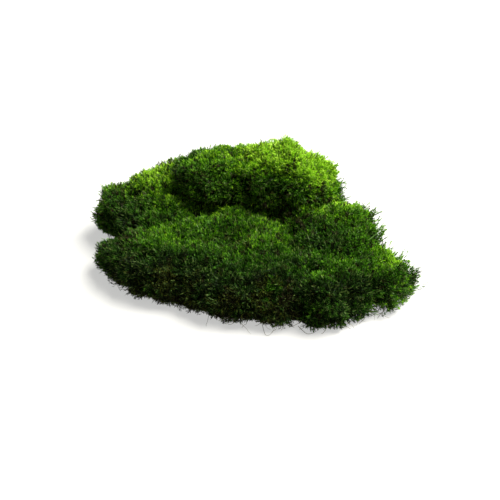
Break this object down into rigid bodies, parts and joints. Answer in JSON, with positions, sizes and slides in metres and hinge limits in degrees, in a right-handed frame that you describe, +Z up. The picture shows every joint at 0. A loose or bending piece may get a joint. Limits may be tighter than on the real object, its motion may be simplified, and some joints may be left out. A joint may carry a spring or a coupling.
{
  "type": "moss clump",
  "caption": "Low spreading clump of fresh green moss, a lobed mat with a tall rounded cushion across its back, for dressing a planter, terrarium or forest floor.",
  "frame": {"origin": "on the surface that the clump lies on, below the middle of its bounding box", "axes": "+X to the right along the clump's length, +Y from its low front to its tall back, +Z up"},
  "size_m": [0.2036, 0.1424, 0.0661],
  "materials": {
    "mat_moss": "soft matt pile of deep green leafy shoots over brown old stems",
    "cushion_moss": "soft matt pile of bright lime to mid green leafy shoots"
  },
  "bodies": {
    "root": {"lower_mat": "mat_moss", "upper_cushion": "cushion_moss"}
  },
  "joints": []
}
